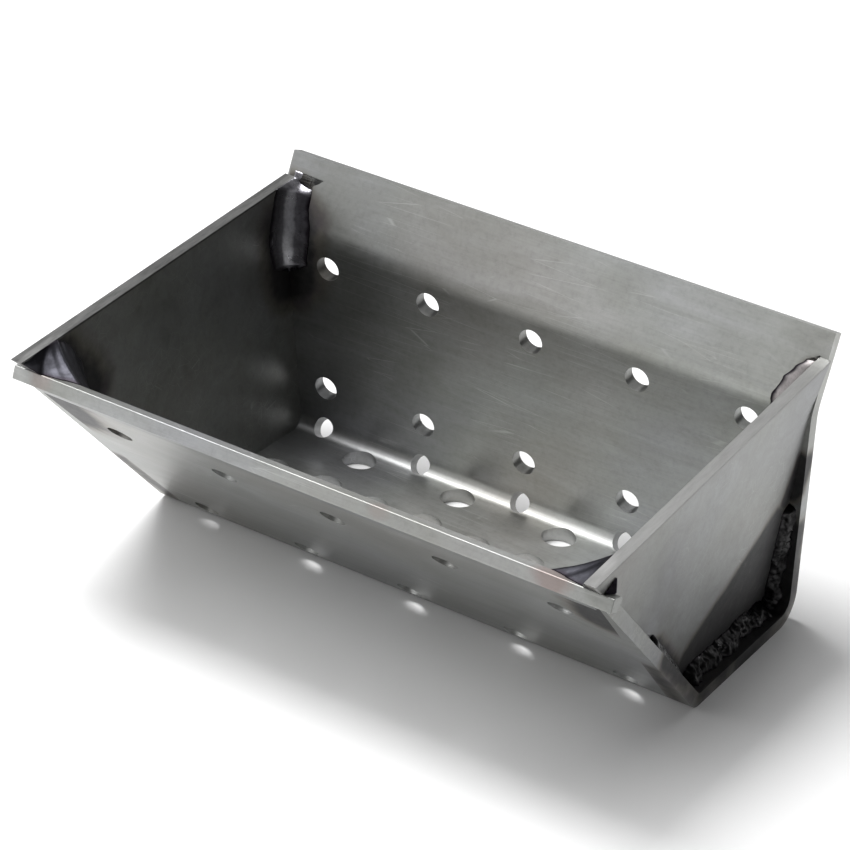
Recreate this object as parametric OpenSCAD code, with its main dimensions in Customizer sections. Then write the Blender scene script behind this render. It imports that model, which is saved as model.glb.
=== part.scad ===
// Perforated scoop bucket: one folded plate trough, two leaning end plates,
// a bar along the front lip, and the weld runs that hold them together.
// +X runs along the bucket, -Y is the lip side, +Y the mounting wall, +Z up.
// The origin is the middle of the footprint, on the plane the floor rests on.

/* [Plate] */
// Thickness of the folded plate
t = 6; // [4:0.5:8]
// Thickness of the end plates
end_t = 5; // [4:0.5:8]
// Width of the folded plate along X
width = 255; // [240:1:320]

/* [Folded profile, outer faces] */
// Length of the floor from corner to corner
floor_len = 89.4; // [84:0.1:110]
// Height of the mounting wall along its own face, up to the flange bend
wall_len = 101.3; // [98:0.1:120]
// Lean of the mounting wall toward the lip, in degrees
wall_lean = 6.7; // [2:0.1:9]
// Length of the raked flange above the bend
flange_len = 32.6; // [30:0.1:45]
// Rake of the flange away from the lip, in degrees
flange_rake = 19.4; // [12:0.1:26]
// Length of the front wall up to the lip bar
front_len = 134.4; // [120:0.1:150]
// Slope of the front wall above horizontal, in degrees
front_angle = 43.7; // [40:0.1:50]
// Outer radius of the bend between floor and front wall
r_front_bend = 10; // [8:0.5:14]
// Outer radius of the bend between floor and mounting wall
r_back_bend = 12; // [10:0.5:16]
// Rear radius of the soft flange bend
r_flange_bend = 16; // [8:1:24]

/* [Holes] */
// Spacing of the hole columns along X
pitch = 50; // [46:1:52]
// Diameter of the bolt and drain holes in the walls
wall_hole = 11; // [9:0.5:12]
// Diameter of the drain holes in the floor
floor_hole = 15; // [12:0.5:17]
// Diameter of the drain holes on the rear bend
bend_hole = 9; // [7:0.5:11]
// Height of the upper bolt row, along the mounting wall
upper_row = 90.7; // [80:0.1:92]
// Height of the lower bolt row, along the mounting wall
lower_row = 30; // [26:0.5:40]
// Distance of the first floor row from the mounting wall corner
floor_row_1 = 18; // [17.5:0.1:24]
// Distance of the middle floor row from the mounting wall corner
floor_row_2 = 45.2; // [42:0.1:50]
// Distance of the last floor row from the mounting wall corner
floor_row_3 = 72; // [68:0.5:74]
// Height of the upper drain row, along the front wall
front_row_hi = 102; // [80:1:112]
// Height of the lower drain row, along the front wall
front_row_lo = 11; // [11:0.5:20]

/* [End plates] */
// Distance of an end plate's outer face from the middle, at floor level
end_x = 116.4; // [110:0.1:120]
// Outward lean of the end plates, in degrees
end_lean = 5.7; // [3:0.1:8]
// Toe of the end plates: how much wider apart they are at the lip, in degrees
end_toe = 0.5; // [0:0.1:1.5]
// How far up the flange the end plates reach
end_on_flange = 21.7; // [16:0.1:26]

/* [Lip bar] */
// Length of the bar along the lip
lip_len = 265.8; // [258:0.1:280]

/* [Weld runs] */
// Leg of the seam runs outside the end plates
seam_leg = 4.5; // [3:0.5:5]
// Leg of the upright runs in the rear corners
rear_leg = 9; // [6:0.5:11]

/* [Hidden] */
$fn = 72;

steel = [0.55, 0.55, 0.56];
steel_dark = [0.42, 0.42, 0.43];
weld_grey = [0.33, 0.32, 0.38];

// Directions of travel around the folded profile, from lip to flange, in the
// Y-Z plane. The inside of the bucket is always on the left.
a1 = -front_angle;
a2 = 0;
a3 = 90 + wall_lean;
a4 = 90 - flange_rake;
function u(a) = [cos(a), sin(a)];
function n(a) = [-sin(a), cos(a)];

// Sharp corners of the outer line, with the wall corner at [0, 0]
E = [0, 0];
C = [-floor_len, 0];
B = E + wall_len * u(a3);
D = B + flange_len * u(a4);
// A point on or near the front wall: h along it from the floor corner, i inward
function fw(h, i) = C - h * u(a1) + i * n(a1);
// Inner corners, one plate thickness inside
function inner(P, a, b) = P + t * (n(a) + n(b)) / (1 + cos(b - a));
Ci = inner(C, a1, a2);
Ei = inner(E, a2, a3);
Bi = inner(B, a3, a4);

// Front tip and rear end of an end plate's top edge
T1 = fw(front_len + 17.4, 2.8);
T2 = B + end_on_flange * u(a4) + t * n(a4);
// Corners of the lip bar: on the plate's edge, rear top, front top, front bottom
Lb = [fw(front_len, 0), fw(front_len, t), fw(front_len + 2.9, t), fw(front_len + 6.8, t - 2.6), fw(front_len + 4.2, -1.5)];

// Drawing coordinates start at the wall corner; this centres the bucket front
// to back, from tip to flange
shift = -(T1[0] + D[0]) / 2;

// Arc tangent lengths
function tl(r, a, b) = r * tan(abs(b - a) / 2);
k1 = tl(r_front_bend, a1, a2);
k2 = tl(r_back_bend, a2, a3);
k3 = tl(r_flange_bend, a3, a4);
Cc = C - k1 * u(a1) + r_front_bend * n(a1);
Ec = E - k2 * u(a2) + r_back_bend * n(a2);
Bc = B - k3 * u(a3) - r_flange_bend * n(a3);

// Arcs are a hair larger than tangent, so they cross the flats cleanly
ease = 1.004;

// What a rounded outer corner loses: everything past the arc of radius r
module corner_loss(P, c, r, a, b, side) {
    Ta = c - side * r * n(a);
    Tb = c - side * r * n(b);
    difference() {
        polygon([c, Ta, Ta - side * 3 * n(a), P - side * 4 * (n(a) + n(b)), Tb - side * 3 * n(b), Tb]);
        translate(c) circle(r = ease * r);
    }
}

module folded_profile() {
    difference() {
        polygon([Lb[0], C, E, Bc + r_flange_bend * n(a3), Bc, Bc + r_flange_bend * n(a4),
                 D, D + t * n(a4), Bi,
                 Ec - (r_back_bend - t) * n(a3), Ec, Ec - (r_back_bend - t) * n(a2),
                 Cc - (r_front_bend - t) * n(a2), Cc, Cc - (r_front_bend - t) * n(a1), Lb[1]]);
        translate(Cc) circle(r = ease * (r_front_bend - t));
        translate(Ec) circle(r = ease * (r_back_bend - t));
        translate(Bc) circle(r = ease * r_flange_bend);
        corner_loss(C, Cc, r_front_bend, a1, a2, 1);
        corner_loss(E, Ec, r_back_bend, a2, a3, 1);
        corner_loss(Bi, Bc, r_flange_bend + t, a3, a4, -1);
    }
}

// Stretches a Y-Z drawing along X
module along_x(len) {
    translate([-len / 2, shift, 0]) rotate([90, 0, 90]) linear_extrude(height = len) children();
}

// A hole through a plate whose outer line runs at angle a
module hole(x, P, a, dia) {
    translate([x, P[0] + shift, P[1]]) rotate([a, 0, 0]) cylinder(d = dia, h = 5 * t, center = true);
}

module trough_sheet() {
    color(steel) difference() {
        along_x(width) folded_profile();
        for (i = [-2:2]) {
            hole(i * pitch, E + upper_row * u(a3), a3, wall_hole);
            hole(i * pitch, E + lower_row * u(a3), a3, wall_hole);
            hole(i * pitch, fw(front_row_hi, 0), a1, wall_hole);
            hole(i * pitch, fw(front_row_lo, 0), a1, wall_hole);
            // on the bend itself, facing the middle of the bucket
            hole(i * pitch, Ec - r_back_bend * n(61), 61, bend_hole);
            hole(i * pitch, E - (floor_row_2 + 2.2) * u(a2), a2, floor_hole);
        }
        for (i = [-1.5:1:1.5]) {
            hole(i * pitch, E - floor_row_1 * u(a2), a2, floor_hole);
            hole(i * pitch, E - floor_row_2 * u(a2), a2, floor_hole);
            hole(i * pitch, E - floor_row_3 * u(a2), a2, floor_hole);
        }
    }
}

// The space inside the folded plate, up to the end plates' top edge
module inside_profile() {
    difference() {
        union() {
            polygon([Cc - (r_front_bend - t) * n(a1), Cc, Cc - (r_front_bend - t) * n(a2),
                     Ec - (r_back_bend - t) * n(a2), Ec, Ec - (r_back_bend - t) * n(a3),
                     Bc + (r_flange_bend + t) * n(a3), Bc, Bc + (r_flange_bend + t) * n(a4),
                     T2, T1, Lb[3], Lb[2], Lb[1]]);
            translate(Cc) circle(r = ease * (r_front_bend - t));
            translate(Ec) circle(r = ease * (r_back_bend - t));
        }
        translate(Bc) circle(r = ease * (r_flange_bend + t));
    }
}

module end_plate() {
    color(steel_dark) intersection() {
        along_x(2 * end_x + 60) inside_profile();
        translate([end_x, shift, 0]) rotate([0, end_lean, 0]) rotate([0, 0, end_toe]) translate([-end_t, -300, -60]) cube([end_t, 600, 300]);
    }
}
module right_end_plate() { end_plate(); }
module left_end_plate() { mirror([1, 0, 0]) end_plate(); }

module front_lip_bar() {
    color(steel) along_x(lip_len) polygon(Lb);
}

// Thin run in the shallow corner under the lip bar
module lip_weld() {
    color(steel) along_x(width - 6) polygon([Lb[0], Lb[0] + 0.62 * (Lb[4] - Lb[0]), fw(front_len - 3, -0.9), fw(front_len - 3.6, 0)]);
}

// X of an end plate's faces at a point of the profile
function xo(p) = end_x + tan(end_lean) * p[1] - tan(end_toe) / cos(end_lean) * p[0];
function xi(p) = xo(p) - end_t / (cos(end_lean) * cos(end_toe));

// Stations along the inner faces: [y, z, direction]
function on_front(h) = concat(fw(h, t), [a1]);
function on_floor(s) = concat(E - s * u(a2) + t * n(a2), [a2]);
function on_wall(s) = concat(E + s * u(a3) + t * n(a3), [a3]);
function on_flange(s) = concat(B + s * u(a4) + t * n(a4), [a4]);
function arc(c, r, b0, b1, d, steps) = [for (k = [0:steps]) let (b = b0 + (b1 - b0) * k / steps) concat(c + r * u(b), [b + d])];

// A bead swept along stations in the corner between an inner face and an end
// plate. Outside the plate it reaches out along +X, inside it reaches along -X.
// lp and lx are its legs up the plate and along the inner face at each station.
function bead_ring(s, lp, lx, outside, bulge) =
    let (c = [s[0], s[1]], up = c + lp * n(s[2]),
         x0 = outside ? xo(c) : xi(c), xu = outside ? xo(up) : xi(up),
         xv = outside ? min(x0 + lx, width / 2 - 0.4) : x0 - lx,
         m = outside ? 1 : -1)
    [[x0, c[0] + shift, c[1]],
     [xv, c[0] + shift, c[1]],
     for (w = [0.25, 0.5, 0.75]) let (q = c + w * lp * n(s[2]) + bulge * sin(180 * w) * n(s[2]))
        [xv + (xu - xv) * w + m * bulge * sin(180 * w), q[0] + shift, q[1]],
     [xu, up[0] + shift, up[1]]];

module bead(st, lp, lx, outside, bulge) {
    m = 6;
    c = len(st);
    pts = [for (k = [0:c - 1]) each bead_ring(st[k], lp[k], lx[k], outside, bulge)];
    sides = [for (k = [0:c - 2], j = [0:m - 1]) let (p = k * m + j, q = k * m + (j + 1) % m)
        each [[p, q, q + m], [p, q + m, p + m]]];
    cap = [for (j = [1:m - 2]) [0, j + 1, j]];
    last = [for (j = [1:m - 2]) [(c - 1) * m, (c - 1) * m + j, (c - 1) * m + j + 1]];
    faces = concat(cap, sides, last);
    color(weld_grey)
        if (outside) polyhedron(points = pts, faces = [for (f = faces) [for (q = [len(f) - 1:-1:0]) f[q]]], convexity = 4);
        else polyhedron(points = pts, faces = faces, convexity = 4);
}

rear_in = concat([for (s = [84, 88, 94]) on_wall(s)],
                 arc(Bc, r_flange_bend + t, a3 + 90, a4 + 90, -90, 4),
                 [for (s = [k3 + 4, 14, 19, end_on_flange + 1.5]) on_flange(s)]);
rear_in_x = [for (f = [0.45, 0.85, 1, 1.1, 1.15, 1.15, 1.15, 1.15, 1.1, 1, 0.7, 0.35]) f * rear_leg];
rear_in_p = [for (f = [0.45, 0.85, 1, 1.1, 1.1, 1.1, 1.1, 1.1, 1.05, 0.95, 0.75, 0.4]) f * rear_leg];
module rear_inner() { bead(rear_in, rear_in_p, rear_in_x, false, -1); }
module rear_right_inner_weld() { rear_inner(); }
module rear_left_inner_weld() { mirror([1, 0, 0]) rear_inner(); }

front_in = [for (h = [front_len + 2.6, 128, 118, 110, 104]) on_front(h)];
module front_corner() { bead(front_in, [13, 14, 12.5, 9, 3], [19, 18, 14, 9, 3], false, -1); }
module front_right_corner_weld() { front_corner(); }
module front_left_corner_weld() { mirror([1, 0, 0]) front_corner(); }

// Weld on top of the lip bar's end, against the outside of an end plate's tip
module tip_run() {
    up = Lb[2] + 7.6 * n(a1);
    q = [for (p = [Lb[1], Lb[2], Lb[3]]) [xo(p), p[0] + shift, p[1]]];
    out = [xo(Lb[2]) + 3.7, Lb[2][0] + shift, Lb[2][1]];
    top = [xo(up), up[0] + shift, up[1]];
    color(weld_grey) polyhedron(points = [q[0], q[1], q[2], out, top],
        faces = [[0, 1, 3], [1, 2, 3], [0, 3, 4], [3, 2, 4], [0, 4, 1], [1, 4, 2]], convexity = 2);
}
module right_tip_weld() { tip_run(); }
module left_tip_weld() { mirror([1, 0, 0]) tip_run(); }

// Weld under the overhanging end of the lip bar, on the cut edge of the plate
module lip_end_run() {
    P = fw(front_len, 0);
    color(weld_grey) translate([width / 2, P[0] + shift, P[1]]) rotate([a1, 0, 0])
        linear_extrude(height = t) polygon([[0, 0], [4.8, 0], [2.6, 3.4], [0, 8.5]]);
}
module right_lip_end_weld() { lip_end_run(); }
module left_lip_end_weld() { mirror([1, 0, 0]) lip_end_run(); }

same = [for (k = [0:40]) seam_leg];
floor_seam = [for (s = [floor_len - k1 - 1, 60, 40, k2]) on_floor(s)];
rear_seam = concat(arc(Ec, r_back_bend - t, a2 - 90, a3 - 90, 90, 8), [for (s = [24, 34, 46, 58]) on_wall(s)]);
front_seam = [for (h = [66, 50, 32, k1 + 1]) on_front(h)];
module floor_run() { bead(floor_seam, same, same, true, 0.5); }
module rear_run() { bead(rear_seam, same, same, true, 0.5); }
module front_run() { bead(front_seam, same, same, true, 0.5); }
module right_floor_seam_weld() { floor_run(); }
module right_rear_seam_weld() { rear_run(); }
module right_front_seam_weld() { front_run(); }
module left_floor_seam_weld() { mirror([1, 0, 0]) floor_run(); }
module left_rear_seam_weld() { mirror([1, 0, 0]) rear_run(); }
module left_front_seam_weld() { mirror([1, 0, 0]) front_run(); }

trough_sheet();
left_end_plate();
right_end_plate();
front_lip_bar();
lip_weld();
rear_left_inner_weld();
rear_right_inner_weld();
front_left_corner_weld();
front_right_corner_weld();
left_tip_weld();
right_tip_weld();
left_lip_end_weld();
right_lip_end_weld();
left_floor_seam_weld();
left_rear_seam_weld();
left_front_seam_weld();
right_floor_seam_weld();
right_rear_seam_weld();
right_front_seam_weld();
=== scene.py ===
import math

import bpy
import bmesh
from mathutils import Matrix, Vector, noise

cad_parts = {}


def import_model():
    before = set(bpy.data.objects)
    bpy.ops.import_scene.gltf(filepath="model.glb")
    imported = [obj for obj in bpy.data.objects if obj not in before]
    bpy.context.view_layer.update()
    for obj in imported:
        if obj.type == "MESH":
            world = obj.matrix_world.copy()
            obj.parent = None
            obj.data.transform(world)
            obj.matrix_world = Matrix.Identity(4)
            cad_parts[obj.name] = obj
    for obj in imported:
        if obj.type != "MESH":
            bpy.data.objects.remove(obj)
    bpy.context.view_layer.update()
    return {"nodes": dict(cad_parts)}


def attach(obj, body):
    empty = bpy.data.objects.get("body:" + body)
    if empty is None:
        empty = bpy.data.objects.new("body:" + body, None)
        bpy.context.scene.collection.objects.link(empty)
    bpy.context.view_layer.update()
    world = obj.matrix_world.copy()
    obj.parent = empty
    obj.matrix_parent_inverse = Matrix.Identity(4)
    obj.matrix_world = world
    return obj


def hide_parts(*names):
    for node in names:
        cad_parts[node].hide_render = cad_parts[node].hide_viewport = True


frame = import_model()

MM = 0.001

# ---------------------------------------------------------------- the profile
# The same drawing as the CAD: y from the wall corner, z from the floor's
# underside, in millimetres. SHIFT moves it into the row frame.
T = 6.0
FLOOR, WALL, LEAN, FLANGE, RAKE, FRONT, SLOPE = 89.4, 101.3, 6.7, 32.6, 19.4, 134.4, 43.7
R_FRONT, R_BACK, R_FLANGE = 10.0, 12.0, 16.0
END_X, END_T, END_LEAN, END_TOE, ON_FLANGE = 116.4, 5.0, math.radians(5.7), math.radians(0.5), 21.7
A1, A2, A3, A4 = -SLOPE, 0.0, 90.0 + LEAN, 90.0 - RAKE


def u(a):
    return Vector((math.cos(math.radians(a)), math.sin(math.radians(a))))


def n(a):
    return Vector((-math.sin(math.radians(a)), math.cos(math.radians(a))))


E = Vector((0.0, 0.0))
C = Vector((-FLOOR, 0.0))
B = E + WALL * u(A3)
D = B + FLANGE * u(A4)


def fw(h, i):
    return C - h * u(A1) + i * n(A1)


TIP = fw(FRONT + 17.4, 2.8)
SHIFT = -(TIP.x + D.x) / 2
PLATE_TOP = B + ON_FLANGE * u(A4) + T * n(A4)
TOP_FALL = (PLATE_TOP.y - TIP.y) / (PLATE_TOP.x - TIP.x)


def tangent(r, a, b):
    return r * math.tan(math.radians(abs(b - a) / 2))


K1, K2, K3 = tangent(R_FRONT, A1, A2), tangent(R_BACK, A2, A3), tangent(R_FLANGE, A3, A4)
CC = C - K1 * u(A1) + R_FRONT * n(A1)
EC = E - K2 * u(A2) + R_BACK * n(A2)
BC = B - K3 * u(A3) - R_FLANGE * n(A3)


def xo(p):
    return END_X + math.tan(END_LEAN) * p.y - math.tan(END_TOE) / math.cos(END_LEAN) * p.x


def xi(p):
    return xo(p) - END_T / (math.cos(END_LEAN) * math.cos(END_TOE))


def world(x, p):
    return Vector((x * MM, (p.x + SHIFT) * MM, p.y * MM))


# Paths along the inner faces: lists of (point, direction in degrees)
def line(start, a, s0, s1, step=0.5, inward=T):
    count = max(2, int(abs(s1 - s0) / step) + 1)
    return [(start + (s0 + (s1 - s0) * k / (count - 1)) * u(a) + inward * n(a), a) for k in range(count)]


def arc(c, r, b0, b1, turn, step=0.5):
    count = max(3, int(abs(math.radians(b1 - b0)) * r / step) + 1)
    out = []
    for k in range(count):
        b = b0 + (b1 - b0) * k / (count - 1)
        out.append((c + r * u(b), b + turn))
    return out


# ---------------------------------------------------------------- node helpers
def new_mat(name):
    m = bpy.data.materials.new(name)
    m.use_nodes = True
    nt = m.node_tree
    nt.nodes.clear()
    return m, nt


class Net:
    """Short calls for building a node tree."""

    def __init__(self, nt):
        self.nt = nt

    def node(self, kind, **props):
        nd = self.nt.nodes.new(kind)
        for k, v in props.items():
            setattr(nd, k, v)
        return nd

    def link(self, a, b):
        self.nt.links.new(a, b)

    def feed(self, socket, value):
        if isinstance(value, bpy.types.NodeSocket):
            self.link(value, socket)
        elif isinstance(value, (tuple, list, Vector)) and len(value) == 3 and len(socket.default_value) == 4:
            socket.default_value = (*value, 1.0)
        else:
            socket.default_value = value

    def math(self, op, a, b=None, c=None, clamp=False):
        nd = self.node("ShaderNodeMath", operation=op, use_clamp=clamp)
        for i, v in enumerate((a, b, c)):
            if v is not None:
                self.feed(nd.inputs[i], v)
        return nd.outputs[0]

    def vec(self, op, a, b=None, scale=None):
        nd = self.node("ShaderNodeVectorMath", operation=op)
        self.feed(nd.inputs[0], a)
        if b is not None:
            self.feed(nd.inputs[1], b)
        if scale is not None:
            self.feed(nd.inputs["Scale"], scale)
        return nd.outputs["Value"] if op in ("DOT_PRODUCT", "LENGTH", "DISTANCE") else nd.outputs["Vector"]

    def noise(self, coord, scale, detail=2.0, rough=0.5, distort=0.0, colour=False):
        nd = self.node("ShaderNodeTexNoise")
        self.link(coord, nd.inputs["Vector"])
        nd.inputs["Scale"].default_value = scale
        nd.inputs["Detail"].default_value = detail
        nd.inputs["Roughness"].default_value = rough
        nd.inputs["Distortion"].default_value = distort
        return nd.outputs["Color" if colour else "Fac"]

    def ramp(self, fac, stops, mode="LINEAR"):
        nd = self.node("ShaderNodeValToRGB")
        nd.color_ramp.interpolation = mode
        cr = nd.color_ramp
        while len(cr.elements) > 1:
            cr.elements.remove(cr.elements[-1])
        for i, (pos, col) in enumerate(stops):
            el = cr.elements[0] if i == 0 else cr.elements.new(pos)
            el.position = pos
            el.color = (*col, 1.0) if len(col) == 3 else col
        self.feed(nd.inputs[0], fac)
        return nd.outputs[0]

    def span(self, value, a, b, lo=0.0, hi=1.0, smooth=True):
        nd = self.node("ShaderNodeMapRange", interpolation_type="SMOOTHSTEP" if smooth else "LINEAR")
        self.feed(nd.inputs["Value"], value)
        for k, v in (("From Min", a), ("From Max", b), ("To Min", lo), ("To Max", hi)):
            nd.inputs[k].default_value = v
        return nd.outputs["Result"]

    def mix(self, fac, a, b, blend="MIX"):
        nd = self.node("ShaderNodeMix", data_type="RGBA", blend_type=blend)
        self.feed(nd.inputs["Factor"], fac)
        self.feed(nd.inputs["A"] if False else [s for s in nd.inputs if s.name == "A" and s.type == "RGBA"][0], a)
        self.feed([s for s in nd.inputs if s.name == "B" and s.type == "RGBA"][0], b)
        return [s for s in nd.outputs if s.type == "RGBA"][0]

    def stretch(self, coord, sx, sy, sz, rot=(0, 0, 0)):
        nd = self.node("ShaderNodeMapping")
        self.link(coord, nd.inputs["Vector"])
        nd.inputs["Scale"].default_value = (sx, sy, sz)
        nd.inputs["Rotation"].default_value = rot
        return nd.outputs[0]

    def bump(self, height, strength, distance, normal=None):
        nd = self.node("ShaderNodeBump")
        nd.inputs["Strength"].default_value = strength
        nd.inputs["Distance"].default_value = distance
        self.link(height, nd.inputs["Height"])
        if normal is not None:
            self.link(normal, nd.inputs["Normal"])
        return nd.outputs[0]


# Distance from the shaded point to a line piece, as a node group
seg = bpy.data.node_groups.new("segment_distance", "ShaderNodeTree")
for nm, kind in (("P", "NodeSocketVector"), ("A", "NodeSocketVector"), ("AB", "NodeSocketVector"), ("Inv", "NodeSocketFloat"), ("Reach", "NodeSocketFloat")):
    seg.interface.new_socket(nm, in_out="INPUT", socket_type=kind)
seg.interface.new_socket("Distance", in_out="OUTPUT", socket_type="NodeSocketFloat")
sn = Net(seg)
gi, go = seg.nodes.new("NodeGroupInput"), seg.nodes.new("NodeGroupOutput")
ap = sn.vec("SUBTRACT", gi.outputs["P"], gi.outputs["A"])
tt = sn.math("MULTIPLY", sn.vec("DOT_PRODUCT", ap, gi.outputs["AB"]), gi.outputs["Inv"], clamp=True)
near = sn.vec("SCALE", gi.outputs["AB"], scale=tt)
seg.links.new(sn.math("MULTIPLY", sn.vec("LENGTH", sn.vec("SUBTRACT", ap, near)), gi.outputs["Reach"]), go.inputs["Distance"])


def near_lines(net, coord, lines):
    """Smallest distance to any of the lines, as a share of its reach."""
    best = None
    for a, b, reach in lines:
        ab = b - a
        nd = net.node("ShaderNodeGroup")
        nd.node_tree = seg
        net.link(coord, nd.inputs["P"])
        nd.inputs["A"].default_value = a
        nd.inputs["AB"].default_value = ab
        nd.inputs["Inv"].default_value = 1.0 / ab.length_squared
        nd.inputs["Reach"].default_value = 1000.0 / reach
        best = nd.outputs[0] if best is None else net.math("SMOOTH_MIN", best, nd.outputs[0], 0.12)
    return best


def outside_mask(net, geo):
    """One outside the end plates' outer faces, zero between them."""
    best = None
    for side in (-1, 1):
        normal = Vector((side, math.tan(END_TOE) / math.cos(END_LEAN), -math.tan(END_LEAN)))
        g = net.vec("DOT_PRODUCT", net.vec("SUBTRACT", geo, world(side * xo(Vector((0, 0))), Vector((0, 0)))), normal)
        best = g if best is None else net.math("MAXIMUM", best, g)
    return net.span(best, -0.0022, -0.0010)


# ---------------------------------------------------------------- heat lines
def corner(p, side):
    return world(side * xi(p), p)


def outer(p, side):
    return world(side * (xo(p) + 2.5), p)


def on_wall(s):
    return E + s * u(A3) + T * n(A3)


def on_flange(s):
    return B + s * u(A4) + T * n(A4)


def on_floor(s):
    return E - s * u(A2) + T * n(A2)


def on_front(h):
    return fw(h, T)


# Segments with the distance, in millimetres, over which soot fades out; on the end plates' outer faces they also carry
# painted shade
SOOT, SOOT_AND_SHADE_OUT, TINT = [], [], []


def flat_out(y, z, side):
    p = Vector((y, z))
    return world(side * xo(p), p)


for side in (-1, 1):
    SOOT += [
        (corner(on_wall(84), side), corner(on_wall(103), side), 17.5 if side < 0 else 9.0),
        (corner(on_flange(2), side), corner(on_flange(14), side), 9.5 if side < 0 else 6.0),
        (corner(on_front(108), side), corner(on_front(134), side), 19.0 if side < 0 else 15.0),
    ]
    SOOT_AND_SHADE_OUT += [
        (outer(on_floor(84), side), outer(on_floor(10), side), 9.0),
        (outer(on_floor(10), side), outer(on_wall(44), side), 8.5),
        (outer(on_front(8), side), outer(on_front(52), side), 7.5),
        # painted shade and soot: these four pieces darken the rear and lower part of each end plate's outer face,
        # partly as soot from the seams and partly standing in for shade and dark reflection
        (flat_out(-24, 52, side), flat_out(-84, 17, side), 9.0),
        (flat_out(-20, 36, side), flat_out(-66, 12, side), 17.0),
        (flat_out(-16, 20, side), flat_out(-44, 10, side), 20.0),
        (flat_out(-17, 62, side), flat_out(-13, 78, side), 6.0),
    ]

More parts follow.
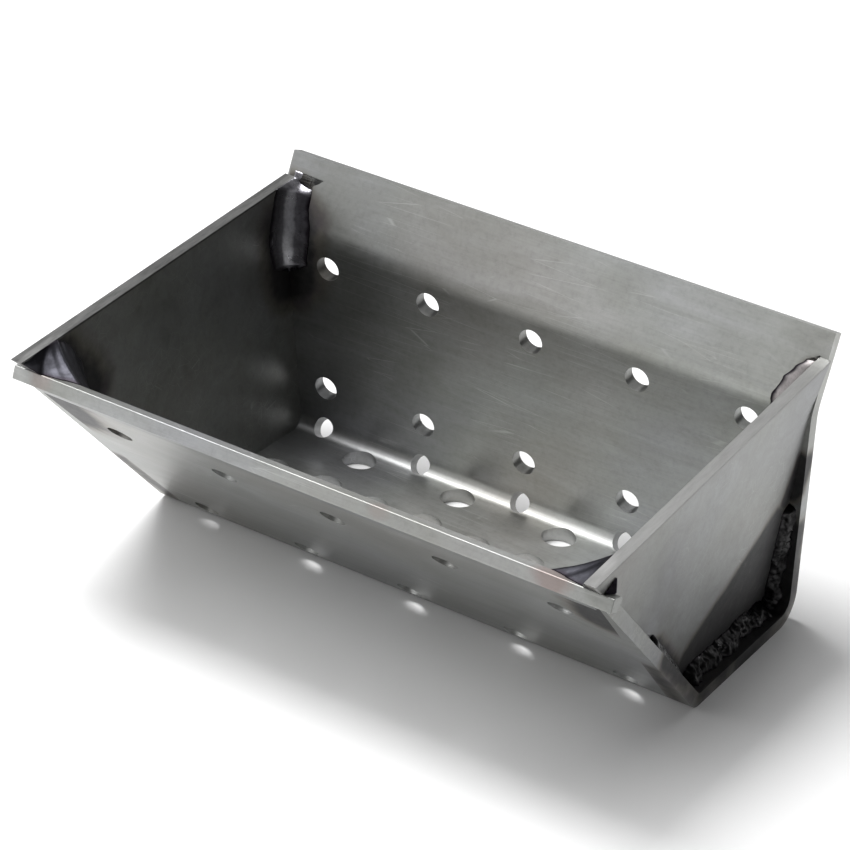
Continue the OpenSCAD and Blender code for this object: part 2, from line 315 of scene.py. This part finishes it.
# ---------------------------------------------------------------- materials
def steel(name, tone=1.0, rough=0.0, grain_rot=(0, 0, 0), heat=True, spots=(), seed=0.0, top_edge=None, painted_light_ramp=False):
    m, nt = new_mat(name)
    net = Net(nt)
    geo = net.node("ShaderNodeTexCoord").outputs["Object"]
    co = net.vec("ADD", geo, (seed, seed * 0.7, -seed))
    bsdf = net.node("ShaderNodeBsdfPrincipled")
    out = net.node("ShaderNodeOutputMaterial")
    net.link(bsdf.outputs[0], out.inputs[0])

    # Broad smudges, hand marks and the faint cloud of mill scale
    cloud = net.noise(co, 16.0, 4.0, 0.55, 0.6)
    smear = net.noise(net.stretch(co, 1.0, 3.2, 3.2, (0.5, 0.3, 0.9)), 22.0, 3.0, 0.6, 1.2)
    speck = net.noise(co, 420.0, 3.0, 0.7)
    grain = net.noise(net.stretch(co, 30.0, 900.0, 900.0, grain_rot), 1.0, 2.0, 0.6)
    value = net.math("ADD", net.math("MULTIPLY", cloud, 0.55), net.math("MULTIPLY", smear, 0.45))
    base = net.ramp(value, [
        (0.28, (0.225 * tone, 0.225 * tone, 0.219 * tone)),
        (0.45, (0.275 * tone, 0.276 * tone, 0.270 * tone)),
        (0.58, (0.310 * tone, 0.311 * tone, 0.312 * tone)),
        (0.74, (0.355 * tone, 0.358 * tone, 0.364 * tone))])
    hue = net.ramp(net.noise(co, 9.0, 2.0, 0.5, 0.4), [
        (0.30, (1.0, 0.985, 0.955)), (0.48, (0.985, 1.0, 0.975)), (0.66, (0.975, 0.985, 1.02))])
    base = net.mix(1.0, base, hue, "MULTIPLY")
    base = net.mix(1.0, base, net.ramp(speck, [(0.25, (0.88, 0.88, 0.88)), (0.5, (1, 1, 1)), (0.8, (1.07, 1.07, 1.07))]), "MULTIPLY")
    base = net.mix(1.0, base, net.ramp(grain, [(0.2, (0.93, 0.93, 0.93)), (0.5, (1, 1, 1)), (0.8, (1.05, 1.05, 1.05))]), "MULTIPLY")

    if painted_light_ramp:
        # painted light: the folded plate is painted brighter toward its right end, on the floor and on the flange, and
        # darker toward its left end, standing in for how light and reflection fall across it
        xyz = net.node("ShaderNodeSeparateXYZ")
        net.link(geo, xyz.inputs[0])
        x, y, z = xyz.outputs
        along = net.span(x, -0.115, 0.100, 0.74, 1.20, smooth=False)
        on_wall_side = net.span(y, 0.050, 0.078)
        f = net.math("ADD", 1.0, net.math("MULTIPLY", net.math("SUBTRACT", along, 1.0), on_wall_side))
        f = net.math("MULTIPLY", f, net.span(z, 0.098, 0.112, 1.0, 1.30))
        f = net.math("MULTIPLY", f, net.span(z, 0.0085, 0.0060, 1.0, 1.16))
        painted_light_factor = net.node("ShaderNodeCombineColor")
        for k in range(3):
            net.link(f, painted_light_factor.inputs[k])
        base = net.mix(1.0, base, painted_light_factor.outputs[0], "MULTIPLY")

    # Long scratches, in two directions
    lines = None
    for i, (rot, sc) in enumerate((((0.2, 0.4, 0.5), 1.0), ((0.9, -0.3, 2.2), 1.3))):
        v = net.node("ShaderNodeTexVoronoi", feature="DISTANCE_TO_EDGE")
        net.link(net.stretch(co, 9.0 * sc, 160.0 * sc, 160.0 * sc, rot), v.inputs["Vector"])
        v.inputs["Scale"].default_value = 1.0
        one = net.math("MULTIPLY", net.span(v.outputs[0], 0.012, 0.0), net.span(net.noise(co, 30.0 + 7 * i, 1.0), 0.52, 0.66))
        lines = one if lines is None else net.math("MAXIMUM", lines, one)
    base = net.mix(net.math("MULTIPLY", lines, 0.35), base, (0.62, 0.62, 0.62))

    # Colours of heat and soot beside the welds, and painted shade on the end plates' outer faces
    r = net.math("ADD", net.math("ADD", 0.40 + rough, net.math("MULTIPLY", net.math("SUBTRACT", cloud, 0.5), 0.30)),
                 net.math("MULTIPLY", net.math("SUBTRACT", speck, 0.5), 0.10))
    metal = 0.86
    if heat:
        wob = net.math("MULTIPLY", net.math("SUBTRACT", net.noise(co, 70.0, 3.0, 0.6, 0.5), 0.5), 0.42)
        wob = net.math("ADD", wob, net.math("MULTIPLY", net.math("SUBTRACT", net.noise(co, 320.0, 2.0, 0.6), 0.5), 0.16))
        out = outside_mask(net, geo)
        within = net.math("ADD", near_lines(net, geo, SOOT), net.math("MULTIPLY", out, 5.0))
        without = net.math("ADD", near_lines(net, geo, SOOT_AND_SHADE_OUT), net.math("MULTIPLY", net.math("SUBTRACT", 1.0, out), 5.0))
        d = net.math("ADD", net.math("MINIMUM", within, without), wob)
        # straw and faint violet just outside the soot
        halo = net.span(d, 1.45, 0.85)
        base = net.mix(net.math("MULTIPLY", halo, 0.75), base, (0.155 * tone, 0.138 * tone, 0.112 * tone))
        violet = net.math("MULTIPLY", net.span(net.noise(co, 55.0, 2.0, 0.5, 0.3), 0.50, 0.62), net.span(d, 1.35, 0.8))
        base = net.mix(net.math("MULTIPLY", violet, 0.55), base, (0.095, 0.080, 0.110))
        # soot beside the welds, and painted shade over the end plates' outer lower rear
        soot_and_shade = net.span(d, 1.10, 0.66)
        black = net.ramp(net.noise(co, 260.0, 3.0, 0.6), [(0.3, (0.010, 0.010, 0.011)), (0.6, (0.024, 0.023, 0.024)), (0.8, (0.050, 0.046, 0.046))])
        base = net.mix(soot_and_shade, base, black)
        r = net.math("ADD", r, net.math("MULTIPLY", soot_and_shade, 0.10))
        metal = net.math("SUBTRACT", 0.86, net.math("MULTIPLY", soot_and_shade, 0.60))
    if top_edge is not None:
        # the flame-cut top edge, duller than the faces
        level = net.vec("DOT_PRODUCT", net.vec("SUBTRACT", geo, world(0, PLATE_TOP)), Vector((0.0, -TOP_FALL, 1.0)).normalized())
        cut = net.span(level, -0.0012, -0.0007, smooth=False)
        rough_cut = net.ramp(net.noise(net.stretch(co, 500.0, 60.0, 500.0), 1.0, 3.0, 0.7), [(0.3, (0.55,) * 3), (0.5, (0.9,) * 3), (0.7, (1.15,) * 3)] if top_edge < 0.8 else [(0.3, (0.84,) * 3), (0.7, (1.04,) * 3)])
        base = net.mix(cut, base, net.mix(1.0, rough_cut, (0.30 * top_edge, 0.30 * top_edge, 0.295 * top_edge), "MULTIPLY"))
        r = net.math("ADD", r, net.math("MULTIPLY", cut, 0.12))
    for spot, size, amount in spots:
        dv = net.vec("DISTANCE", net.vec("ADD", geo, (0, 0, 0)), spot)
        dv = net.math("ADD", dv, net.math("MULTIPLY", net.math("SUBTRACT", net.noise(co, 150.0, 2.0), 0.5), size * 0.8))
        base = net.mix(net.math("MULTIPLY", net.span(dv, size, size * 0.3), amount), base, (0.270, 0.190, 0.175))
    net.feed(bsdf.inputs["Base Color"], base)
    net.feed(bsdf.inputs["Metallic"], metal)
    net.feed(bsdf.inputs["Roughness"], net.math("MINIMUM", net.math("MAXIMUM", r, 0.22), 0.8))
    nrm = net.bump(net.noise(co, 38.0, 2.0, 0.5), 0.25, 0.0006)
    nrm = net.bump(speck, 0.20, 0.00006, nrm)
    nrm = net.bump(grain, 0.18, 0.00005, nrm)
    nrm = net.bump(lines, 0.25, -0.00006, nrm)
    net.link(nrm, bsdf.inputs["Normal"])
    return m


def weld_metal(name, seed, light=1.0, hue=(1.0, 0.96, 1.14), rim=0.5, rough=0.0, spread=1.0, painted_highlight_streak=False):
    """Weld metal; the rim attribute is 1 at the toes of a bead and darkens them."""
    m, nt = new_mat(name)
    net = Net(nt)
    geo = net.node("ShaderNodeTexCoord").outputs["Object"]
    co = net.vec("ADD", geo, (seed, -seed, seed * 0.5))
    bsdf = net.node("ShaderNodeBsdfPrincipled")
    out = net.node("ShaderNodeOutputMaterial")
    net.link(bsdf.outputs[0], out.inputs[0])
    patch = net.noise(co, 120.0, 3.0, 0.6, 0.8)
    fine = net.noise(co, 900.0, 3.0, 0.65)
    lo, hi = 0.30 - 0.18 * spread, 0.30 + 0.06 * spread
    tones = [(0.32, lo), (0.46, 0.5 * (lo + 0.30)), (0.56, 0.30), (0.72, hi)]
    base = net.ramp(patch, [(at, tuple(v * light * h for h in hue)) for at, v in tones])
    base = net.mix(1.0, base, net.ramp(fine, [(0.3, (0.85, 0.85, 0.85)), (0.6, (1.08, 1.08, 1.08))]), "MULTIPLY")
    edge = net.node("ShaderNodeAttribute", attribute_name="rim").outputs["Fac"]
    wave = net.math("ADD", edge, net.math("MULTIPLY", net.math("SUBTRACT", net.noise(co, 230.0, 2.0), 0.5), 0.25))
    # painted highlight and shade: brightens a streak down the middle of the bead and darkens its flanks toward the
    # toes, standing in for light on a concave bead
    if painted_highlight_streak:
        base = net.mix(1.0, base, net.ramp(wave, [(0.0, (1.9, 1.9, 1.9)), (0.20, (1.6, 1.6, 1.6)), (0.34, (0.55, 0.54, 0.56)), (0.60, (0.34, 0.33, 0.35))]), "MULTIPLY")
    base = net.mix(net.math("MULTIPLY", net.span(wave, 0.72, 0.95), rim), base, (0.022, 0.018, 0.024))
    net.feed(bsdf.inputs["Base Color"], base)
    bsdf.inputs["Metallic"].default_value = 0.85
    net.feed(bsdf.inputs["Roughness"], net.span(patch, 0.3, 0.7, 0.46 + rough, 0.30 + rough))
    nrm = net.bump(fine, 0.3, 0.00008)
    nrm = net.bump(net.noise(co, 260.0, 2.0), 0.3, 0.0002, nrm)
    net.link(nrm, bsdf.inputs["Normal"])
    return m


M_SHEET = steel("mill_steel_sheet", seed=1.3, painted_light_ramp=True)
# a darker steel given to the bevel faces along the folded plate's edges and hole rims
M_RIM = steel("mill_steel_dark_bevel", tone=0.34, rough=0.10, heat=False, seed=2.2)
M_END_L = steel("mill_steel_end_left", tone=0.97, grain_rot=(0, 0, 0.6), seed=4.1, top_edge=0.50)
M_END_R = steel("mill_steel_end_right", tone=1.0, grain_rot=(0, 0, 0.9), seed=7.7, top_edge=1.0)
M_LIP = steel("mill_steel_lip", tone=1.12, rough=0.05, heat=False, seed=9.2, spots=(
    (world(107, fw(FRONT + 6, 3)), 0.011, 0.55), (world(-119, fw(FRONT + 6, 3)), 0.008, 0.35), (world(34, fw(FRONT + 6, 3)), 0.006, 0.25)))
PLATES = {"trough_sheet": M_SHEET, "left_end_plate": M_END_L, "right_end_plate": M_END_R, "front_lip_bar": M_LIP}


def smooth_cad(o, width, segments=2):
    w = o.modifiers.new("join", "WELD")
    w.merge_threshold = 0.00001
    b = o.modifiers.new("edge_break", "BEVEL")
    b.width = width
    b.segments = segments
    b.limit_method = "ANGLE"
    b.angle_limit = math.radians(32)
    b.use_clamp_overlap = True
    b.harden_normals = True


def even_normals(o):
    w = o.modifiers.new("even", "WEIGHTED_NORMAL")
    w.mode = "FACE_AREA"
    w.weight = 80
    w.keep_sharp = False


for name, mat in PLATES.items():
    o = frame["nodes"][name]
    o.data.materials.clear()
    o.data.materials.append(mat)
    smooth_cad(o, 0.0004)


# The folded plate again with finely stepped bends and drilled holes
def folded_lines():
    outside, inside = [], []

    def flat_at(p, a):
        outside.append(p)
        inside.append(p + T * n(a))

    def bend(c, ro, ri, b0, b1, steps):
        for k in range(steps + 1):
            b = b0 + (b1 - b0) * k / steps
            outside.append(c + ro * u(b))
            inside.append(c + ri * u(b))

    gap = 0.5
    flat_at(fw(FRONT, 0), A1)
    flat_at(fw(K1 + gap, 0), A1)
    bend(CC, R_FRONT, R_FRONT - T, A1 - 90, A2 - 90, 14)
    flat_at(C + (K1 + gap) * u(A2), A2)
    flat_at(E - (K2 + gap) * u(A2), A2)
    bend(EC, R_BACK, R_BACK - T, A2 - 90, A3 - 90, 28)
    flat_at(E + (K2 + gap) * u(A3), A3)
    flat_at(B - (K3 + gap) * u(A3), A3)
    bend(BC, R_FLANGE, R_FLANGE + T, A3 + 90, A4 + 90, 16)
    flat_at(B + (K3 + gap) * u(A4), A4)
    flat_at(D, A4)
    return outside, inside


def mesh_object(name, bm, mat=None):
    bmesh.ops.recalc_face_normals(bm, faces=bm.faces)
    me = bpy.data.meshes.new(name)
    bm.to_mesh(me)
    bm.free()
    if mat is not None:
        me.materials.append(mat)
    o = bpy.data.objects.new(name, me)
    bpy.context.scene.collection.objects.link(o)
    return o


def fine_sheet():
    outside, inside = folded_lines()
    count = len(outside)
    bm = bmesh.new()
    ends = []
    for x in (-127.5, 127.5):
        ends.append(([bm.verts.new(world(x, p)) for p in outside], [bm.verts.new(world(x, p)) for p in inside]))
    (oa, ia), (ob, ib) = ends
    for k in range(count - 1):
        bm.faces.new((oa[k], oa[k + 1], ob[k + 1], ob[k]))
        bm.faces.new((ia[k], ia[k + 1], ib[k + 1], ib[k]))
        bm.faces.new((oa[k], oa[k + 1], ia[k + 1], ia[k]))
        bm.faces.new((ob[k], ob[k + 1], ib[k + 1], ib[k]))
    bm.faces.new((oa[0], ia[0], ib[0], ob[0]))
    bm.faces.new((oa[-1], ia[-1], ib[-1], ob[-1]))
    o = mesh_object("folded_plate", bm, M_SHEET)

    drills = bmesh.new()

    def drill(x, p, a, dia):
        axis = Vector((0.0, n(a).x, n(a).y))
        turn = axis.to_track_quat("Z", "Y").to_matrix().to_4x4()
        bmesh.ops.create_cone(drills, cap_ends=True, cap_tris=False, segments=56, radius1=dia / 2 * MM, radius2=dia / 2 * MM,
                              depth=22 * MM, matrix=Matrix.Translation(world(x, p)) @ turn)

    for i in range(-2, 3):
        drill(i * 50, E + 90.7 * u(A3), A3, 11)
        drill(i * 50, E + 30 * u(A3), A3, 11)
        drill(i * 50, fw(102, 0), A1, 11)
        drill(i * 50, fw(11, 0), A1, 11)
        drill(i * 50, EC - R_BACK * n(61), 61, 9)
        drill(i * 50, E - 47.4 * u(A2), A2, 15)
    for i in range(-3, 4, 2):
        for row in (18, 45.2, 72):
            drill(i * 25, E - row * u(A2), A2, 15)
    cut = mesh_object("drills", drills)
    b = o.modifiers.new("drill", "BOOLEAN")
    b.operation = "DIFFERENCE"
    b.solver = "EXACT"
    b.object = cut
    shape = bpy.data.meshes.new_from_object(o.evaluated_get(bpy.context.evaluated_depsgraph_get()))
    o.modifiers.clear()
    o.data = shape
    shape.name = "folded_plate"
    bpy.data.objects.remove(cut)
    for poly in shape.polygons:
        poly.use_smooth = True
    if not shape.materials:
        shape.materials.append(M_SHEET)
    for poly in shape.polygons:
        poly.material_index = 0
    shape.materials.append(M_RIM)
    smooth_cad(o, 0.00045)
    o.modifiers["edge_break"].material = 1
    even_normals(o)
    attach(o, "root")
    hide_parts("trough_sheet")
    return o


plate = fine_sheet()

# ---------------------------------------------------------------- weld beads
def below_top(c, up, leg):
    """Keeps a leg on the end plate under the plate's top edge."""
    rise = up.y - TOP_FALL * up.x
    if rise < 0.02:
        return leg
    room = (PLATE_TOP.y + TOP_FALL * (c.x - PLATE_TOP.x) - c.y) / rise
    return max(0.7, min(leg, room - 0.1))


def bead(name, path, side, outside, leg_x, leg_p, crown, pitch, ripple, seed, limit=None, mat=None, ends=(3.0, 3.0), across=18, uneven=1.0, cap=None):
    """A weld run in the corner between an inner face and an end plate.
    leg_x and leg_p give the legs along X and up the plate at 0..1 of the run."""
    lens = [0.0]
    for (p, _), (q, _) in zip(path, path[1:]):
        lens.append(lens[-1] + (q - p).length)
    total = lens[-1]
    bm = bmesh.new()
    rim = bm.verts.layers.float.new("rim")
    rings = []
    for k, (c, a) in enumerate(path):
        s = lens[k]
        f = s / total
        grow = min(1.0, math.sqrt(max(0.0, min(1.0, s / ends[0]) * (2 - min(1.0, s / ends[0]))) + 0.02),
                   math.sqrt(max(0.0, min(1.0, (total - s) / ends[1]) * (2 - min(1.0, (total - s) / ends[1]))) + 0.02))
        wob = 1.0 + uneven * (0.10 * noise.noise(Vector((s * 0.16, seed, 0.3))) + 0.05 * noise.noise(Vector((s * 0.5, seed, 4.3))))
        lx, lp = leg_x(f) * grow * wob, leg_p(f) * grow * (2 - wob)
        up = n(a)
        lp = below_top(c, up, lp)
        m = 1 if outside else -1
        x0 = xo(c) if outside else xi(c)
        if limit is not None and outside:
            lx = min(lx, limit - x0)
        top = c + lp * up
        xt = xo(top) if outside else xi(top)
        ring = [bm.verts.new(world(side * x0, c))]
        ring[0][rim] = 1.0
        for j in range(across + 1):
            w = j / across
            px = (x0 + m * lx) * (1 - w) + xt * w
            pp = c * (1 - w) + top * w
            curve = math.sin(math.pi * w)
            phase = s / pitch + 0.55 * (2 * w - 1) ** 2 + 0.45 * noise.noise(Vector((s * 0.35, seed + 9, w * 2)))
            saw = phase - math.floor(phase)
            rip = ripple * (math.sin(math.pi * saw) ** 0.6 - 0.5) * curve
            rough = uneven * (0.16 * noise.noise(Vector((s * 1.1, w * 7 + seed, 2.0))) + 0.30 * noise.noise(Vector((s * 0.33, w * 3 + seed, 7.0)))) * curve
            out = (crown * curve + rip + rough) * min(1.0, grow + 0.1) * min(1.0, lp / 2.5, lx / 2.5)
            px += m * out * lp / max(0.1, math.hypot(lx, lp))
            pp = pp + up * out * lx / max(0.1, math.hypot(lx, lp))
            v = bm.verts.new(world(side * px, pp))
            v[rim] = 1.0 - (1.0 - abs(2 * w - 1)) * min(1.0, 1.6 * max(grow - 0.2, 0.0))
            if cap is not None and f > cap:
                v[rim] += (0.29 - v[rim]) * min(1.0, (f - cap) / 0.04)
            ring.append(v)
        rings.append(ring)
    size = len(rings[0])
    for r0, r1 in zip(rings, rings[1:]):
        for j in range(size):
            bm.faces.new((r0[j], r0[(j + 1) % size], r1[(j + 1) % size], r1[j]))
    bm.faces.new(list(reversed(rings[0])))
    bm.faces.new(rings[-1])
    o = mesh_object(name, bm, mat)
    for p in o.data.polygons:
        p.use_smooth = True
    return o


def flat(v):
    return lambda f: v


def between(*knots):
    def at(f):
        for (f0, v0), (f1, v1) in zip(knots, knots[1:]):
            if f <= f1:
                w = (f - f0) / (f1 - f0)
                w = w * w * (3 - 2 * w)
                return v0 + (v1 - v0) * w
        return knots[-1][1]
    return at


W_REAR_L = weld_metal("weld_rear_left", 2.0, 1.15, (1.0, 0.99, 1.06), 1.0, -0.06, 0.3, True)
W_REAR_R = weld_metal("weld_rear_right", 3.0, 1.15, (1.05, 0.98, 0.98), 1.0, 0.05, 0.4)
W_FRONT = weld_metal("weld_front", 5.0, 0.13, (0.96, 0.96, 1.16), 0.9, 0.05, 0.7)
W_TIP = weld_metal("weld_tip", 6.0, 0.30, (1.05, 0.92, 1.22), 0.0, 0.0, 1.2)
W_SEAM = weld_metal("weld_seam", 8.0, 0.13, (1.0, 0.98, 1.0), 0.6, -0.06, 1.3)

rear_path = (line(E, A3, 83.0, WALL - K3) + arc(BC, R_FLANGE + T, A3 + 90, A4 + 90, -90)[1:]
             + line(B, A4, K3, ON_FLANGE + 2.6)[1:])
rear_path_r = [q for q in rear_path if (q[0] - B).dot(u(A4)) < ON_FLANGE + 0.6]


def front_at(h):
    """Inner face, then the lip bar's top, then the plate's free lower edge."""
    knots = ((104.0, T), (FRONT + 2.9, T), (FRONT + 6.8, T - 2.6), (FRONT + 17.4, 2.8))
    for (h0, i0), (h1, i1) in zip(knots, knots[1:]):
        if h <= h1:
            return fw(h, i0 + (i1 - i0) * (h - h0) / (h1 - h0))
    return fw(h, 2.8)


front_path = [(front_at(150.0 - 0.5 * k), A1) for k in range(93)]
floor_path = line(E, A2 + 180, FLOOR - K1 - 1, K2, inward=-T)
rear_seam = (arc(EC, R_BACK - T, A2 - 90, A3 - 90, 90) + line(E, A3, K2, 58.0)[1:])
front_seam = line(C, A1 + 180, 66.0, K1 + 1, inward=-T)


floor_path, front_seam = ([(p, a - 180) for p, a in q] for q in (floor_path, front_seam))

for side, tag in ((-1, "left"), (1, "right")):
    sd = 10.0 * side
    if side < 0:
        rear_x = between((0, 4.0), (0.14, 10.0), (0.45, 11.6), (0.72, 9.6), (0.90, 9.2), (0.965, 13.0), (1, 14.6))
        rear_p = between((0, 4.0), (0.14, 11.0), (0.40, 13.0), (1, 13.0))
    else:
        rear_x = between((0, 4.0), (0.2, 10.0), (0.42, 12.0), (0.50, 12.8), (0.70, 11.3), (0.83, 8.2), (0.92, 5.3), (1, 1.6))
        rear_p = between((0, 4.0), (0.2, 10.0), (0.5, 11.0), (1, 9.0))
    blob = noise.noise
    made = {
        f"rear_{tag}_inner_weld": bead(
            f"rear_{tag}_inner_bead", rear_path if side < 0 else rear_path_r, side, False, rear_x, rear_p,
            -2.6, 2.8, 0.06, sd + 1, mat=W_REAR_L if side < 0 else W_REAR_R, ends=(7.0, 0.6 if side < 0 else 4.0), across=26, uneven=0.5, cap=0.80 if side < 0 else None),
        f"front_{tag}_corner_weld": bead(
            f"front_{tag}_corner_bead", front_path, side, False,
            between((0, 1.0), (0.19, 3.0), (0.25, 12.0), (0.30, 19.0), (0.48, 18.0), (0.70, 14.0), (0.89, 8.0), (1, 3.0)),
            between((0, 1.5), (0.19, 11.4), (0.28, 13.3), (0.50, 15.5), (0.72, 13.4), (0.89, 9.5), (1, 3.0)),
            -0.8, 3.4, 0.07, sd + 2, mat=W_FRONT, ends=(0.6, 5.0), across=26, uneven=0.5),
        f"{tag}_floor_seam_weld": bead(
            f"{tag}_floor_seam_bead", floor_path, side, True, lambda f: 6.2 + 1.6 * blob(Vector((f * 9, sd, 1))), lambda f: 6.0 + 1.8 * blob(Vector((f * 8, sd, 3))),
            0.7, 3.6, 0.38, sd + 3, 127.0, W_SEAM, uneven=3.4),
        f"{tag}_rear_seam_weld": bead(
            f"{tag}_rear_seam_bead", rear_seam, side, True, lambda f: 5.4 - 1.2 * f + 1.2 * blob(Vector((f * 9, sd, 5))), lambda f: 4.8 + 0.9 * blob(Vector((f * 8, sd, 7))),
            0.6, 3.4, 0.35, sd + 4, 127.0, W_SEAM, uneven=2.8),
        f"{tag}_front_seam_weld": bead(
            f"{tag}_front_seam_bead", front_seam, side, True, flat(4.6), flat(4.6), 0.5, 2.8, 0.35, sd + 5, 127.0, W_SEAM, uneven=2.0),
    }
    for node, o in made.items():
        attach(o, "root")
        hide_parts(node)

lw = frame["nodes"]["lip_weld"]
lw.data.materials.clear()
lw.data.materials.append(steel("mill_steel_lip_run", tone=0.85, heat=False, seed=12.0))
smooth_cad(lw, 0.0003)
M_END_RUN = steel("mill_steel_lip_end", tone=1.05, rough=0.04, heat=False, seed=15.0)
for tag in ("left", "right"):
    for node, mat, size in ((f"{tag}_lip_end_weld", M_END_RUN, 0.0012), (f"{tag}_tip_weld", W_TIP, 0.0008)):
        o = frame["nodes"][node]
        o.data.materials.clear()
        o.data.materials.append(mat)
        smooth_cad(o, size, 4)

# ---------------------------------------------------------------- stage
def plane(name, size, z, mat):
    me = bpy.data.meshes.new(name)
    s = size / 2
    me.from_pydata([(-s, -s, z), (s, -s, z), (s, s, z), (-s, s, z)], [], [(0, 1, 2, 3)])
    me.materials.append(mat)
    o = bpy.data.objects.new(name, me)
    bpy.context.scene.collection.objects.link(o)
    return o


fm, fnt = new_mat("floor_paper")
fnet = Net(fnt)
fb = fnet.node("ShaderNodeBsdfPrincipled")
fo = fnet.node("ShaderNodeOutputMaterial")
fnet.link(fb.outputs[0], fo.inputs[0])
fb.inputs["Base Color"].default_value = (0.86, 0.86, 0.86, 1)
fb.inputs["Roughness"].default_value = 0.9
fb.inputs["Emission Color"].default_value = (1, 1, 1, 1)
fb.inputs["Emission Strength"].default_value = 0.04
floor = plane("floor", 30.0, -0.0001, fm)

wd = bpy.data.worlds.new("studio")
bpy.context.scene.world = wd
wd.use_nodes = True
wn = Net(wd.node_tree)
wd.node_tree.nodes.clear()
bg = wn.node("ShaderNodeBackground")
wo = wn.node("ShaderNodeOutputWorld")
wn.link(bg.outputs[0], wo.inputs[0])
bg.inputs["Color"].default_value = (0.92, 0.95, 1.0, 1)
bg.inputs["Strength"].default_value = 0.02


def area(name, loc, target, size, power, colour=(1, 1, 1)):
    l = bpy.data.lights.new(name, "AREA")
    l.shape = "RECTANGLE"
    l.size, l.size_y = size
    l.energy = power
    l.color = colour
    o = bpy.data.objects.new(name, l)
    bpy.context.scene.collection.objects.link(o)
    o.location = loc
    d = Vector(target) - Vector(loc)
    o.rotation_euler = d.to_track_quat("-Z", "Y").to_euler()
    return o


def soft(name, azimuth, elevation, power, size=(1.3, 1.1), away=1.9):
    """A softbox around the bucket; azimuth runs from +X towards +Y."""
    a, e = math.radians(azimuth), math.radians(elevation)
    area(name, (away * math.cos(a) * math.cos(e), away * math.sin(a) * math.cos(e), away * math.sin(e)), (0, 0, 0.05), size, power)


soft("front_left", 240, 45, 11.1, (0.8, 0.8))
soft("left_high", 182, 68, 33.0, (0.9, 0.9))
soft("front_left_high", 228, 70, 11.0, (1.0, 1.0))
soft("top", 210, 84, 7.5, (0.8, 0.8))
soft("back", 90, 32, 7.3, (2.0, 0.8))
soft("front_low", 225, 11, 5.5, (2.0, 0.8))

# ---------------------------------------------------------------- camera
L = 0.255
az, el, roll = 0.5036551318, 0.4936006569, 0.1040405206
tx, ty, dist, focal = -0.1720624736, 0.1491176594, 5.4151354209, 3221.279091
back = Vector((math.sin(az) * math.cos(el), -math.cos(az) * math.cos(el), math.sin(el)))
right = (-back).cross(Vector((0, 0, 1))).normalized()
up = right.cross(-back)
r2 = right * math.cos(roll) + up * math.sin(roll)
u2 = -right * math.sin(roll) + up * math.cos(roll)
pos = (back * dist + r2 * tx + u2 * ty) * L + Vector((0, SHIFT * MM, 0))
cam = bpy.data.cameras.new("camera")
cam.sensor_width = 36.0
cam.lens = focal / 850 * 36.0
cam.clip_end = 60.0
co = bpy.data.objects.new("camera", cam)
bpy.context.scene.collection.objects.link(co)
co.matrix_world = Matrix(((r2.x, u2.x, back.x, pos.x), (r2.y, u2.y, back.y, pos.y), (r2.z, u2.z, back.z, pos.z), (0, 0, 0, 1)))
bpy.context.scene.camera = co
bpy.context.scene.view_settings.view_transform = "Standard"
